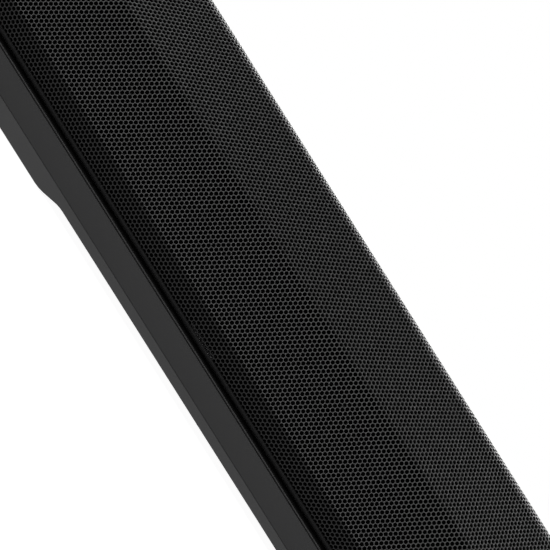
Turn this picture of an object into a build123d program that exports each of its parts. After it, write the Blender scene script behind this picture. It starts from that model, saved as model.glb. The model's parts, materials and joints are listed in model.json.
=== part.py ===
from build123d import *
from math import cos, hypot, radians, sin
import os

# A mains-powered soundbar with a folded perforated grille.
# Frame: +X to the right seen from the front, -Y to the front, +Z up, in millimetres.
# Origin: middle of the footprint, on the surface that the rubber pads stand on.

os.makedirs("parts", exist_ok=True)

# ---------------------------------------------------------------- driving dimensions

LENGTH = 1000.0
DEPTH = 120.0
WALL = 2.5
FIT = 0.3  # gap between neighbouring covers
SLIP = 0.2  # clearance round a piece that sits in a pocket

HALF = LENGTH / 2
FRONT = -DEPTH / 2
REAR = DEPTH / 2
SKIN_HALF = HALF - 5.3  # covers and grille stop at the end caps
CORE_HALF = HALF - 10.0  # everything inside stops at the end caps' plugs

FOOT_Z = 0.3  # underside of the moulded feet; the rubber stands proud of it
BASE_Z = FOOT_Z + 2.2
BAND_Z = BASE_Z + 2.55
FLOOR_Z = BAND_Z + 2.0
LEDGE_Z = BAND_Z + 8.05
BODY_Z = LEDGE_Z + 0.65  # the shadow gap lies between LEDGE_Z and BODY_Z
TOP_Z = 70.8
SEAM_Z = 60.0  # where the rear housing meets the top cover

GRILLE_THICK = 0.6
GRILLE_REAR = FRONT + 42.4
LOW_CREASE = (FRONT, 21.95)
HIGH_CREASE = (FRONT + 3.5, 48.4)
UNDERCUT = 3.57  # how far the grille's foot stands back from its low crease
GRILLE_PATH = [
    (FRONT + 6.5, BODY_Z),
    (FRONT + UNDERCUT, BODY_Z),
    LOW_CREASE,
    HIGH_CREASE,
    (FRONT + 21.0, TOP_Z),
    (GRILLE_REAR, TOP_Z),
    (GRILLE_REAR, TOP_Z - 2.6),
]
GRILLE_RADII = [3.8, 1.4, 1.2, 6.0, 0.9]
SCRIM_NEAR, SCRIM_FAR = 0.7, 1.0
COVER_FRONT = GRILLE_REAR + FIT
TOP_RADIUS = 4.0

TILT = radians(18.3)  # the baffle leans back
BAFFLE_Y = FRONT + 15.25
BAFFLE_Z = 39.3
BAFFLE_THICK = 3.0

WOOFER_X = [-400, -250, 0, 250, 400]
WOOFER_NAMES = ["left_outer", "left_inner", "centre", "right_inner", "right_outer"]
TWEETER_X = [-325, 325]
PORT_X = [-110, 110]

CHAMBER_Y = FRONT + 56.0
CHAMBER_TOP = 66.1

BAY_HALF = 108.0
BAY_Y = REAR - 14.0
BAY_TOP = 46.0
BOARD_THICK = 1.6
MAIN_BOARD_Z = 22.0
POWER_BOARD_Z = 14.0
INLET_X, INLET_Z = 84.0, 31.0

BUTTON_X = [-56, -28, 0, 28, 56]
BUTTON_NAMES = ["power", "source", "volume_down", "volume_up", "play"]
BUTTON_Y = 16.0
BUTTON_RADIUS = 7.2
BUTTON_TRAVEL = 0.7
BUTTON_BOARD_Z = 58.4
PLUNGER_Z = 64.0

INSERT_X = [-300, 300]
INSERT_Z = 40.0


# ---------------------------------------------------------------- shared helpers


def save(builder, name):
    """Label a finished piece and write its STEP file."""
    builder.part.label = name
    export_step(builder.part, f"parts/{name}.step")


def inset(path, distance):
    """An open path moved to the right of its direction by distance, corner by corner."""
    runs = []
    for (y0, z0), (y1, z1) in zip(path, path[1:]):
        length = hypot(y1 - y0, z1 - z0)
        runs.append(((y1 - y0) / length, (z1 - z0) / length))
    moved = []
    for index, (y, z) in enumerate(path):
        before = runs[max(index - 1, 0)]
        after = runs[min(index, len(runs) - 1)]
        step = distance / (1 + before[0] * after[0] + before[1] * after[1])
        moved.append((y + step * (before[1] + after[1]), z - step * (before[0] + after[0])))
    return moved


def folded_sheet(path, radii, near, far, half_length):
    """A bent sheet that lies between two insets of a path in the YZ plane, along X."""
    with BuildPart() as sheet:
        with BuildSketch(Plane.YZ):
            with BuildLine():
                outer = FilletPolyline(*inset(path, near), radius=[r - near for r in radii])
                inner = FilletPolyline(*inset(path, far), radius=[r - far for r in radii])
                Line(outer @ 0, inner @ 0)
                Line(outer @ 1, inner @ 1)
            make_face()
        extrude(amount=half_length, both=True)
    return sheet


def baffle_plane(x=0.0, out=0.0):
    """A plane parallel to the baffle's front face, a distance out along its normal."""
    origin = (x, BAFFLE_Y - out * cos(TILT), BAFFLE_Z + out * sin(TILT))
    return Plane(origin=origin, x_dir=(1, 0, 0), z_dir=(0, -cos(TILT), sin(TILT)))


OUTWARD = Axis(baffle_plane().origin, baffle_plane().z_dir)


def height_out(face):
    """How far a face's centre stands out from the baffle's front face."""
    return (face.center() - OUTWARD.position).dot(OUTWARD.direction)


def copies(builder, spots, name):
    """One node that holds a copy of a piece at each X position."""
    with BuildPart() as group:
        with Locations(*[(x, 0, 0) for x in spots]):
            add(builder.part)
    save(group, name)


# ---------------------------------------------------------------- base

FOOT_LENGTH = 55.0
FOOT_BLEND = 11.2
FOOT_DEPTH = 40.0
FOOT_ROOT = 0.5  # how far a foot runs up into the plate
FOOT_X = [-415, 415]
BASE_RADIUS = 6.0
PAD_SIZE = (46.0, 20.0)
PAD_RADIUS = 4.0
PAD_RISE = 1.0
PAD_Y = REAR - 18.0
SCREW_SPOTS = [(x, y) for x in (-470, -330, -180, -60, 60, 180, 330, 470) for y in (-42, 42)]
SCREW_HEAD = (2.9, 1.6)  # radius and height
SCREW_SHANK = 1.5
UPWARDS = (Align.CENTER, Align.CENTER, Align.MIN)


def foot_outline(foot_x):
    """A foot's front outline: a flat sole whose ends sweep up into the plate."""
    left, right = foot_x - FOOT_LENGTH / 2, foot_x + FOOT_LENGTH / 2
    top_left, top_right = (left - FOOT_BLEND, BASE_Z), (right + FOOT_BLEND, BASE_Z)
    Line((left, FOOT_Z), (right, FOOT_Z))
    Spline((right, FOOT_Z), top_right, tangents=[(1, 0), (1, 0)])
    Polyline(top_right, (top_right[0], BASE_Z + FOOT_ROOT), (top_left[0], BASE_Z + FOOT_ROOT), top_left)
    Spline(top_left, (left, FOOT_Z), tangents=[(1, 0), (1, 0)])


with BuildPart() as base_plate:
    with BuildSketch(Plane.XY.offset(BASE_Z)):
        RectangleRounded(LENGTH, DEPTH, BASE_RADIUS)
    extrude(amount=BAND_Z - BASE_Z)
    for side in (-1, 1):
        for foot_x in FOOT_X:
            with BuildSketch(Plane.XZ.offset(-side * REAR)):
                with BuildLine():
                    foot_outline(foot_x)
                make_face()
            extrude(amount=side * FOOT_DEPTH)
    with BuildSketch(Plane.XY.offset(FOOT_Z)):
        with Locations(*[(x, y) for x in FOOT_X for y in (-PAD_Y, PAD_Y)]):
            RectangleRounded(PAD_SIZE[0] + SLIP, PAD_SIZE[1] + SLIP, PAD_RADIUS)
    extrude(amount=PAD_RISE, mode=Mode.SUBTRACT)
    with Locations(*[(x, y, BASE_Z) for x, y in SCREW_SPOTS]):
        Cylinder(SCREW_HEAD[0] + 0.5, SCREW_HEAD[1], align=UPWARDS, mode=Mode.SUBTRACT)
        Cylinder(SCREW_SHANK + SLIP, WALL + 0.5, align=UPWARDS, mode=Mode.SUBTRACT)
save(base_plate, "base_plate")

with BuildPart() as foot_pads:
    with BuildSketch():
        with Locations(*[(x, y) for x in FOOT_X for y in (-PAD_Y, PAD_Y)]):
            RectangleRounded(*PAD_SIZE, PAD_RADIUS)
    extrude(amount=FOOT_Z + PAD_RISE)
    chamfer(foot_pads.faces().group_by(Axis.Z)[0].edges(), 0.2)
save(foot_pads, "foot_pads")

LEDGE_GROOVE_Z = LEDGE_Z - 0.78
LEDGE_GROOVE = (0.35, 0.9)  # height and depth of the groove under the housing's top edge
PARTING = (0.25, 0.2)  # height and depth of the line between the base plate and the housing
BOSS_HEIGHT = 3.8


def rim_ring(depth):
    """Draw the moulded base's outline as a ring of one depth all round."""
    RectangleRounded(LENGTH, DEPTH, BASE_RADIUS)
    RectangleRounded(LENGTH - 2 * depth, DEPTH - 2 * depth, BASE_RADIUS - depth, mode=Mode.SUBTRACT)


with BuildPart() as lower_housing:
    with BuildSketch(Plane.XY.offset(BAND_Z)):
        RectangleRounded(LENGTH, DEPTH, BASE_RADIUS)
    extrude(amount=LEDGE_Z - BAND_Z)
    fillet(lower_housing.faces().sort_by(Axis.Z)[-1].edges(), 0.25)
    with BuildSketch(Plane.XY.offset(FLOOR_Z)):
        RectangleRounded(LENGTH - 2 * WALL, DEPTH - 2 * WALL, BASE_RADIUS - WALL)
    extrude(amount=LEDGE_Z - FLOOR_Z, mode=Mode.SUBTRACT)
    for groove_z, height, depth in ((LEDGE_GROOVE_Z, *LEDGE_GROOVE), (BAND_Z, *PARTING)):
        with BuildSketch(Plane.XY.offset(groove_z)):
            rim_ring(depth)
        extrude(amount=height, mode=Mode.SUBTRACT)
    with BuildSketch(Plane.XY.offset(FLOOR_Z)):
        with Locations(*SCREW_SPOTS):
            Circle(3.5)
    extrude(amount=BOSS_HEIGHT)
    with Locations(*[(x, y, BAND_Z) for x, y in SCREW_SPOTS]):
        Cylinder(SCREW_SHANK + 0.1, BOSS_HEIGHT + 1.4, align=UPWARDS, mode=Mode.SUBTRACT)
save(lower_housing, "lower_housing")

with BuildPart() as housing_screw:
    with BuildSketch(Plane.XZ):
        with BuildLine():
            Polyline(
                (0, BASE_Z + 0.4), (2.0, BASE_Z + 0.3), (SCREW_HEAD[0], BASE_Z + 0.8),
                (SCREW_HEAD[0], BASE_Z + SCREW_HEAD[1]), (SCREW_SHANK, BASE_Z + SCREW_HEAD[1]),
                (SCREW_SHANK, BAND_Z + 4.2), (0, BAND_Z + 5.0), close=True,
            )
        make_face()
    revolve(axis=Axis.Z)
    with BuildSketch(Plane.XY.offset(BASE_Z)):
        Rectangle(2.6, 0.6)
        Rectangle(0.6, 2.6)
    extrude(amount=1.1, mode=Mode.SUBTRACT)

with BuildPart() as housing_screws:
    with Locations(*[(x, y, 0) for x, y in SCREW_SPOTS]):
        add(housing_screw.part)
save(housing_screws, "housing_screws")

# ---------------------------------------------------------------- covers

BAY_WALL = 2.0
INNER_REAR = REAR - WALL - SLIP  # the rear skirt stands inside the lower housing's wall
INSERT_RADIUS, INSERT_BORE, INSERT_DEPTH = 3.0, 2.0, 10.0


def yz_block(y0, y1, z0, z1):
    """Draw a rectangle between two Y and two Z limits on the YZ plane."""
    with Locations(((y0 + y1) / 2, (z0 + z1) / 2)):
        Rectangle(y1 - y0, z1 - z0)


with BuildPart() as rear_housing:
    with BuildSketch(Plane.YZ):
        yz_block(REAR - WALL, REAR, BODY_Z, SEAM_Z - SLIP)
    extrude(amount=SKIN_HALF, both=True)
    with BuildSketch(Plane.YZ):
        yz_block(INNER_REAR - WALL, INNER_REAR, FLOOR_Z, BODY_Z + WALL)
        yz_block(INNER_REAR - WALL, REAR, BODY_Z, BODY_Z + WALL)
        yz_block(INNER_REAR - 2.1, INNER_REAR, SEAM_Z - 5, SEAM_Z + 3)
        yz_block(INNER_REAR - 1.6, REAR - WALL, SEAM_Z - 5, SEAM_Z - 2)
    extrude(amount=CORE_HALF, both=True)
    with Locations((0, (BAY_Y + REAR - WALL) / 2, (LEDGE_Z + BAY_TOP + BAY_WALL) / 2)):
        Box(2 * (BAY_HALF + BAY_WALL), REAR - WALL - BAY_Y, BAY_TOP + BAY_WALL - LEDGE_Z)
    with Locations((0, (BAY_Y + INNER_REAR) / 2, LEDGE_Z - BAY_WALL / 2)):
        Box(2 * (BAY_HALF + BAY_WALL), INNER_REAR - BAY_Y, BAY_WALL)
    with Locations((0, (BAY_Y + REAR) / 2, (LEDGE_Z + BAY_TOP) / 2)):
        Box(2 * BAY_HALF, REAR - BAY_Y + 2, BAY_TOP - LEDGE_Z, mode=Mode.SUBTRACT)
    with BuildSketch(Plane.XZ.offset(-REAR)):
        with Locations(*[(x, INSERT_Z) for x in INSERT_X]):
            Circle(2 * INSERT_RADIUS)
    extrude(amount=INSERT_DEPTH + 2)
    with BuildSketch(Plane.XZ.offset(-REAR)):
        with Locations(*[(x, INSERT_Z) for x in INSERT_X]):
            Circle(INSERT_RADIUS + 0.1)
    extrude(amount=INSERT_DEPTH + 2, mode=Mode.SUBTRACT)
save(rear_housing, "rear_housing")

with BuildPart() as wall_inserts:
    with BuildSketch(Plane.XZ.offset(-REAR + 0.3)):
        with Locations(*[(x, INSERT_Z) for x in INSERT_X]):
            Circle(INSERT_RADIUS)
            Circle(INSERT_BORE, mode=Mode.SUBTRACT)
    extrude(amount=INSERT_DEPTH)
save(wall_inserts, "wall_inserts")

COVER_PATH = [(COVER_FRONT, TOP_Z), (REAR, TOP_Z), (REAR, SEAM_Z)]
cover_skin = folded_sheet(COVER_PATH, [TOP_RADIUS], 0, WALL, SKIN_HALF)
SHELF_FRONT = GRILLE_REAR - 18.9
SHELF_TOP = TOP_Z - 3.0
SHELF_LOW = SHELF_TOP - 1.6
BUTTON_BOARD_TOP = BUTTON_BOARD_Z + BOARD_THICK

with BuildPart() as top_cover:
    add(cover_skin.part)
    with BuildSketch(Plane.YZ):
        yz_block(COVER_FRONT, COVER_FRONT + WALL, SHELF_LOW, TOP_Z - 1)
        yz_block(SHELF_FRONT, COVER_FRONT + WALL, SHELF_LOW, SHELF_TOP)
    extrude(amount=CORE_HALF, both=True)
    with BuildSketch(Plane.XY.offset(BUTTON_BOARD_TOP)):
        with Locations((-80, BUTTON_Y), (80, BUTTON_Y)):
            Circle(3.5)
    extrude(amount=TOP_Z - 1 - BUTTON_BOARD_TOP)
    with BuildSketch(Plane.XY.offset(TOP_Z)):
        with Locations(*[(x, BUTTON_Y) for x in BUTTON_X]):
            Circle(BUTTON_RADIUS + FIT)
    extrude(amount=-WALL, mode=Mode.SUBTRACT)
    mouths = top_cover.edges().filter_by(GeomType.CIRCLE).group_by(Axis.Z)[-1]
    chamfer(mouths.filter_by(lambda edge: edge.radius < BUTTON_RADIUS + 1), 0.25)
save(top_cover, "top_cover")

CAP_PATH = GRILLE_PATH[1:5] + [(REAR, TOP_Z), (REAR, BODY_Z)]
CAP_RADII = GRILLE_RADII[0:4] + [TOP_RADIUS, 1.0]
CAP_THICK = 5.0
PLUG_INSET = 2.9
PLUG_REACH = 3.0
PLUG_LOW = BODY_Z + 5.0
TONGUE_WIDTH = 90.0


def end_cap(side):
    """One end cap: a moulded plate with a plug and a tongue that reaches into the base."""
    with BuildPart() as cap:
        with BuildSketch(Plane.YZ.offset(side * HALF)):
            with BuildLine():
                FilletPolyline(*CAP_PATH, radius=CAP_RADII, close=True)
            make_face()
        extrude(amount=-side * CAP_THICK)
        rim = cap.faces().sort_by(Axis.X)[-1 if side > 0 else 0]
        chamfer(rim.edges(), 0.6)
        with BuildSketch(Plane.YZ.offset(side * (HALF - CAP_THICK))):
            with BuildLine():
                plug = inset(GRILLE_PATH[1:5] + [(REAR, TOP_Z)], PLUG_INSET)
                rear_y = REAR - PLUG_INSET
                plug_foot = [(rear_y, PLUG_LOW), (FRONT + 9, PLUG_LOW)]
                Polyline(*plug[1:4], (rear_y, plug[3][1]), *plug_foot, close=True)
            make_face()
            yz_block(-TONGUE_WIDTH / 2, TONGUE_WIDTH / 2, FLOOR_Z, PLUG_LOW + 1)
        extrude(amount=-side * PLUG_REACH)
    return cap


save(end_cap(-1), "left_end_cap")
save(end_cap(1), "right_end_cap")

# ---------------------------------------------------------------- grille and what holds it

front_grille = folded_sheet(GRILLE_PATH, GRILLE_RADII, 0, GRILLE_THICK, SKIN_HALF)
save(front_grille, "front_grille")

SCRIM_RISE = 2.8
SCRIM_START = (FRONT + UNDERCUT * (1 - SCRIM_RISE / (LOW_CREASE[1] - BODY_Z)), BODY_Z + SCRIM_RISE)
SCRIM_PATH = [SCRIM_START, LOW_CREASE, HIGH_CREASE, GRILLE_PATH[4], (GRILLE_REAR - 1.6, TOP_Z)]
acoustic_scrim = folded_sheet(SCRIM_PATH, [2.0, 2.0, 6.0], SCRIM_NEAR, SCRIM_FAR, CORE_HALF)
save(acoustic_scrim, "acoustic_scrim")

# ---------------------------------------------------------------- baffle and chambers

APERTURE = (96.0, 38.0)
FLANGE = (104.0, 46.0)
SCREW_SPREAD = (47.0, 18.0)
TWEETER_FLANGE = 21.0
TWEETER_SPREAD = 17.5
PORT_FLANGE = (64.0, 26.0)
PORT_OUTER = (56.0, 18.0)
FRONT_SLOPE = sin(TILT) / cos(TILT)


def baffle_front_y(z):
    """Y of the baffle's front face at a height."""
    return BAFFLE_Y + (z - BAFFLE_Z) * FRONT_SLOPE


CLIP_X = [-472, -325, -170, -65, 65, 170, 325, 472]
CLIP_FRONT = FRONT + 5.6
CLIP_Z = BODY_Z + GRILLE_THICK + 0.1
CLIP_TOP = CLIP_Z + 3.2
CLIP_THICK = 0.6
CLIP_HALF = 6.0

with BuildPart() as grille_clips:
    for clip_x in CLIP_X:
        with BuildSketch(Plane.YZ.offset(clip_x)):
            with BuildLine():
                heel_y, tip_y = baffle_front_y(CLIP_Z), baffle_front_y(CLIP_TOP)
                Polyline(
                    (CLIP_FRONT, CLIP_Z), (heel_y, CLIP_Z), (tip_y, CLIP_TOP), (tip_y - CLIP_THICK, CLIP_TOP),
                    (baffle_front_y(CLIP_Z + CLIP_THICK) - CLIP_THICK, CLIP_Z + CLIP_THICK),
                    (CLIP_FRONT, CLIP_Z + CLIP_THICK), close=True,
                )
            make_face()
        extrude(amount=CLIP_HALF, both=True)
save(grille_clips, "grille_clips")

BAFFLE_LOW = BODY_Z - 0.3
BAFFLE_TOP = 64.9
BAFFLE_HALF = CORE_HALF - 1
low_y, top_y = baffle_front_y(BAFFLE_LOW), baffle_front_y(BAFFLE_TOP)
back_y, drop = BAFFLE_THICK * cos(TILT), BAFFLE_THICK * sin(TILT)

with BuildPart() as front_baffle:
    with BuildSketch(Plane.YZ):
        with BuildLine():
            Polyline(
                (low_y, FLOOR_Z), (low_y, BAFFLE_LOW), (top_y, BAFFLE_TOP),
                (top_y + back_y, BAFFLE_TOP - drop), (low_y + back_y, BAFFLE_LOW - drop),
                (low_y + back_y, FLOOR_Z), close=True,
            )
        make_face()
    extrude(amount=BAFFLE_HALF, both=True)
    for woofer_x in WOOFER_X:
        with BuildSketch(baffle_plane(woofer_x)):
            SlotOverall(*APERTURE)
            with GridLocations(2 * SCREW_SPREAD[0], 2 * SCREW_SPREAD[1], 2, 2):
                Circle(1.3)
        extrude(amount=-5, mode=Mode.SUBTRACT)
    for tweeter_x in TWEETER_X:
        with BuildSketch(baffle_plane(tweeter_x)):
            Circle(15.6)
            with GridLocations(2 * TWEETER_SPREAD, 0.1, 2, 1):
                Circle(1.3)
        extrude(amount=-5, mode=Mode.SUBTRACT)
    for port_x in PORT_X:
        with BuildSketch(baffle_plane(port_x)):
            SlotOverall(PORT_OUTER[0] + SLIP, PORT_OUTER[1] + SLIP)
        extrude(amount=-5, mode=Mode.SUBTRACT)
save(front_baffle, "front_baffle")

SEAL_DEPTH = 2.8

with BuildPart() as foam_seal:
    with BuildSketch(Plane.YZ):
        yz_block(top_y, top_y + SEAL_DEPTH, BAFFLE_TOP, SHELF_LOW)
    extrude(amount=BAFFLE_HALF, both=True)
save(foam_seal, "foam_seal")

RIB_X = [-480, -190, 190, 480]
FRAME_WALL = 2.0
FRAME_REAR = CHAMBER_Y + FRAME_WALL
HARNESS_Z = 50.0
HARNESS_HOLE_X = 372.0
rib_gap = BAFFLE_THICK / cos(TILT) + SLIP  # along Y, from the baffle's front face to a rib

with BuildPart() as chamber_frame:
    with BuildSketch(Plane.YZ):
        yz_block(CHAMBER_Y, FRAME_REAR, FLOOR_Z, CHAMBER_TOP + 2)
    extrude(amount=BAFFLE_HALF, both=True)
    for rib_x in RIB_X:
        with BuildSketch(Plane.YZ.offset(rib_x)):
            with BuildLine():
                Polyline(
                    (low_y + rib_gap, FLOOR_Z), (low_y + rib_gap, BAFFLE_LOW),
                    (baffle_front_y(CHAMBER_TOP) + rib_gap, CHAMBER_TOP), (CHAMBER_Y + 1, CHAMBER_TOP),
                    (CHAMBER_Y + 1, FLOOR_Z), close=True,
                )
            make_face()
        extrude(amount=FRAME_WALL / 2, both=True)
    with BuildSketch(Plane.XZ.offset(-CHAMBER_Y)):
        with Locations((-HARNESS_HOLE_X, HARNESS_Z), (HARNESS_HOLE_X, HARNESS_Z)):
            Circle(2.4)
    extrude(amount=-FRAME_WALL - 1, mode=Mode.SUBTRACT)
save(chamber_frame, "chamber_frame")

# ---------------------------------------------------------------- racetrack drivers, built at X = 0

GASKET = 0.8
FLANGE_THICK = 1.5
FLANGE_TOP = GASKET + FLANGE_THICK
REAR_PLATE = 16.0
CONE_RIM = (81.4, 23.4)
CONE_NECK = (30.0, 20.0)
CONE_FRONT, CONE_BACK = 3.0, -9.0
COIL_RADIUS = 9.5

with BuildPart() as gasket:
    with BuildSketch(baffle_plane()):
        RectangleRounded(FLANGE[0], FLANGE[1], 6)
        SlotOverall(*APERTURE, mode=Mode.SUBTRACT)
        with GridLocations(2 * SCREW_SPREAD[0], 2 * SCREW_SPREAD[1], 2, 2):
            Circle(1.5, mode=Mode.SUBTRACT)
    extrude(amount=GASKET)
copies(gasket, WOOFER_X, "driver_gaskets")

with BuildPart() as basket:
    with BuildSketch(baffle_plane(out=GASKET)):
        SlotOverall(94, 36)
    with BuildSketch(baffle_plane(out=-REAR_PLATE)):
        SlotOverall(46, 32)
    loft()
    with BuildSketch(baffle_plane(out=-REAR_PLATE)):
        SlotOverall(46, 32)
    extrude(amount=-2)
    with BuildSketch(baffle_plane(out=GASKET)):
        RectangleRounded(FLANGE[0], FLANGE[1], 6)
    extrude(amount=FLANGE_THICK)
    with BuildSketch(baffle_plane(out=FLANGE_TOP)):
        SlotOverall(91, 33)
    extrude(amount=-FLANGE_THICK, mode=Mode.SUBTRACT)
    with BuildSketch(baffle_plane(out=GASKET)):
        SlotOverall(91, 33)
    with BuildSketch(baffle_plane(out=-REAR_PLATE)):
        SlotOverall(43, 29)
    loft(mode=Mode.SUBTRACT)
    with BuildSketch(baffle_plane()):
        Circle(10.5)
        with GridLocations(2 * SCREW_SPREAD[0], 2 * SCREW_SPREAD[1], 2, 2):
            Circle(1.4)
    extrude(amount=25, both=True, mode=Mode.SUBTRACT)
    with BuildSketch(baffle_plane(out=-4)):
        with GridLocations(42, 60, 2, 2):
            RectangleRounded(18, 50, 3)
    extrude(amount=-10, mode=Mode.SUBTRACT)
copies(basket, WOOFER_X, "driver_baskets")

with BuildPart() as surround:
    with BuildSketch(baffle_plane(out=FLANGE_TOP)):
        SlotOverall(APERTURE[0], APERTURE[1])
        SlotOverall(CONE_RIM[0] + 2 * FIT, CONE_RIM[1] + 2 * FIT, mode=Mode.SUBTRACT)
    extrude(amount=0.6)
    with BuildSketch(baffle_plane(out=FLANGE_TOP)):
        SlotOverall(APERTURE[0] - 3, APERTURE[1] - 3)
        SlotOverall(CONE_RIM[0] + 2 * FIT, CONE_RIM[1] + 2 * FIT, mode=Mode.SUBTRACT)
    extrude(amount=2.6)
    fillet(surround.faces().sort_by(OUTWARD)[-1].edges(), 1.2)
    with BuildSketch(baffle_plane(out=FLANGE_TOP)):
        SlotOverall(APERTURE[0] - 6, APERTURE[1] - 6)
        SlotOverall(CONE_RIM[0] + 3.4, CONE_RIM[1] + 3.4, mode=Mode.SUBTRACT)
    extrude(amount=1.6, mode=Mode.SUBTRACT)
copies(surround, WOOFER_X, "driver_surrounds")

with BuildPart() as spider:
    with BuildSketch(baffle_plane(out=-14)):
        SlotOverall(42.8, 28.8)
        Circle(COIL_RADIUS + 0.5, mode=Mode.SUBTRACT)
    extrude(amount=-0.8)
copies(spider, WOOFER_X, "driver_spiders")

with BuildPart() as magnet:
    motor_origin = baffle_plane(out=-REAR_PLATE - 2).origin
    motor_plane = Plane(origin=motor_origin, x_dir=(1, 0, 0), z_dir=(0, sin(TILT), cos(TILT)))
    with BuildSketch(motor_plane):
        with BuildLine():
            Polyline(
                (0, 0), (8.5, 0), (8.5, 9), (10, 9), (10, 0), (17, 0), (17, 3), (18, 3.6), (18, 11),
                (17, 11.6), (17, 15), (0, 15), close=True,
            )
        make_face()
    motor_axis = Axis(motor_plane.origin, motor_plane.y_dir)
    revolve(axis=motor_axis)
copies(magnet, WOOFER_X, "driver_magnets")

with BuildPart() as cone:
    with BuildSketch(baffle_plane(out=CONE_FRONT)):
        SlotOverall(*CONE_RIM)
    with BuildSketch(baffle_plane(out=CONE_BACK)):
        SlotOverall(*CONE_NECK)
    loft()
    with BuildSketch(baffle_plane(out=CONE_FRONT)):
        SlotOverall(CONE_RIM[0] - 1.8, CONE_RIM[1] - 1.8)
    with BuildSketch(baffle_plane(out=CONE_BACK)):
        SlotOverall(CONE_NECK[0] - 1.8, CONE_NECK[1] - 1.8)
    loft(mode=Mode.SUBTRACT)
    with BuildSketch(baffle_plane(out=CONE_BACK)):
        SlotOverall(*CONE_NECK)
    extrude(amount=-0.8)
    with BuildSketch(baffle_plane(out=CONE_BACK - 0.8)):
        Circle(COIL_RADIUS)
        Circle(COIL_RADIUS - 0.6, mode=Mode.SUBTRACT)
    extrude(amount=-11.2)
    with BuildSketch(baffle_plane(out=CONE_BACK)):
        SlotOverall(26, 17)
    extrude(amount=4.5)
    dust_cap = [face for face in cone.faces() if abs(height_out(face) - CONE_BACK - 4.5) < 0.01]
    fillet(dust_cap[0].edges(), 3.2)

for woofer_x, woofer_name in zip(WOOFER_X, WOOFER_NAMES):
    copies(cone, [woofer_x], f"cone_{woofer_name}")

with BuildPart() as driver_screw:
    with BuildSketch(baffle_plane(out=FLANGE_TOP)):
        Circle(2.4)
    extrude(amount=1.5)
    fillet(driver_screw.faces().sort_by(OUTWARD)[-1].edges(), 0.7)
    with BuildSketch(baffle_plane(out=FLANGE_TOP)):
        Circle(1.2)
    extrude(amount=-7)
    with BuildSketch(baffle_plane(out=FLANGE_TOP + 1.5)):
        Rectangle(2.4, 0.5)
        Rectangle(0.5, 2.4)
    extrude(amount=-0.7, mode=Mode.SUBTRACT)

WOOFER_SCREWS = [
    (x + sx * SCREW_SPREAD[0], sy * SCREW_SPREAD[1] * sin(TILT), sy * SCREW_SPREAD[1] * cos(TILT))
    for x in WOOFER_X for sx in (-1, 1) for sy in (-1, 1)
]
TWEETER_SCREWS = [(x + sx * TWEETER_SPREAD, 0, 0) for x in TWEETER_X for sx in (-1, 1)]

with BuildPart() as driver_screws:
    with Locations(*(WOOFER_SCREWS + TWEETER_SCREWS)):
        add(driver_screw.part)
save(driver_screws, "driver_screws")

# ---------------------------------------------------------------- tweeters and bass ports


def revolved(profile):
    """A turned piece on the baffle's normal; profile is (radius, distance out) pairs."""
    plane = Plane(origin=baffle_plane().origin, x_dir=(1, 0, 0), z_dir=(0, sin(TILT), cos(TILT)))
    with BuildPart() as turned:
        with BuildSketch(plane):
            with BuildLine():
                Polyline(*[(radius, -height) for radius, height in profile], close=True)
            make_face()
        revolve(axis=Axis(plane.origin, plane.y_dir))
    return turned


tweeter_shell = revolved([
    (9.9, -2), (9.9, -0.8), (14.5, FLANGE_TOP), (TWEETER_FLANGE - 0.5, FLANGE_TOP),
    (TWEETER_FLANGE, FLANGE_TOP - 0.5), (TWEETER_FLANGE, 0), (15.4, 0), (15.4, -9), (13.6, -9), (13.6, -2),
])
with BuildPart() as tweeter_body:
    add(tweeter_shell.part)
    with BuildSketch(baffle_plane(out=FLANGE_TOP)):
        with Locations((-TWEETER_SPREAD, 0), (TWEETER_SPREAD, 0)):
            Circle(1.4)
    extrude(amount=-6, mode=Mode.SUBTRACT)
copies(tweeter_body, TWEETER_X, "tweeter_bodies")

tweeter_dome = revolved([
    (0, 3.2), (3, 2.9), (6, 1.9), (8.4, 0), (9.7, -0.6),
    (9.7, -1.2), (8, -0.8), (5.6, 1.3), (3, 2.4), (0, 2.7),
])
copies(tweeter_dome, TWEETER_X, "tweeter_domes")

tweeter_magnet = revolved([(0, -9.1), (12.6, -9.1), (13, -9.6), (13, -17.5), (12.5, -18), (0, -18)])
copies(tweeter_magnet, TWEETER_X, "tweeter_magnets")

with BuildPart() as bass_port:
    with BuildSketch(baffle_plane()):
        SlotOverall(*PORT_FLANGE)
    extrude(amount=1.5)
    with BuildSketch(baffle_plane()):
        SlotOverall(*PORT_OUTER)
    extrude(amount=-30)
    with BuildSketch(baffle_plane(out=1.5)):
        SlotOverall(PORT_OUTER[0] - 4, PORT_OUTER[1] - 4)
    extrude(amount=-31.5, mode=Mode.SUBTRACT)
    chamfer(bass_port.faces().sort_by(OUTWARD)[-1].edges(), 0.5)
copies(bass_port, PORT_X, "bass_ports")

# ---------------------------------------------------------------- connector bay

PANEL_THICK = 2.0
SOCKET_FRONT = BAY_Y + 0.4
HDMI_X = [-80, -55]
OPTICAL_X = -28.0
USB_X = 0.0
AUX_X = 26.0
BOARD_TOP = MAIN_BOARD_Z + BOARD_THICK
HDMI_SIZE = (15.0, 6.2)
OPTICAL_SIZE = (10.6, 10.6)
USB_SIZE = (14.5, 7.0)
AUX_SIZE = (8.0, 8.0)
INLET_SIZE = (24.0, 14.0)
AUX_Z = BOARD_TOP + AUX_SIZE[1] / 2


def socket_spots():
    """Each socket's X, middle height and outer size, as the panel's apertures need them."""
    spots = [(x, BOARD_TOP + HDMI_SIZE[1] / 2, HDMI_SIZE) for x in HDMI_X]
    spots.append((OPTICAL_X, BOARD_TOP + OPTICAL_SIZE[1] / 2, OPTICAL_SIZE))
    spots.append((USB_X, BOARD_TOP + USB_SIZE[1] / 2, USB_SIZE))
    spots.append((AUX_X, AUX_Z, AUX_SIZE))
    spots.append((INLET_X, INLET_Z, INLET_SIZE))
    return spots


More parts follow.
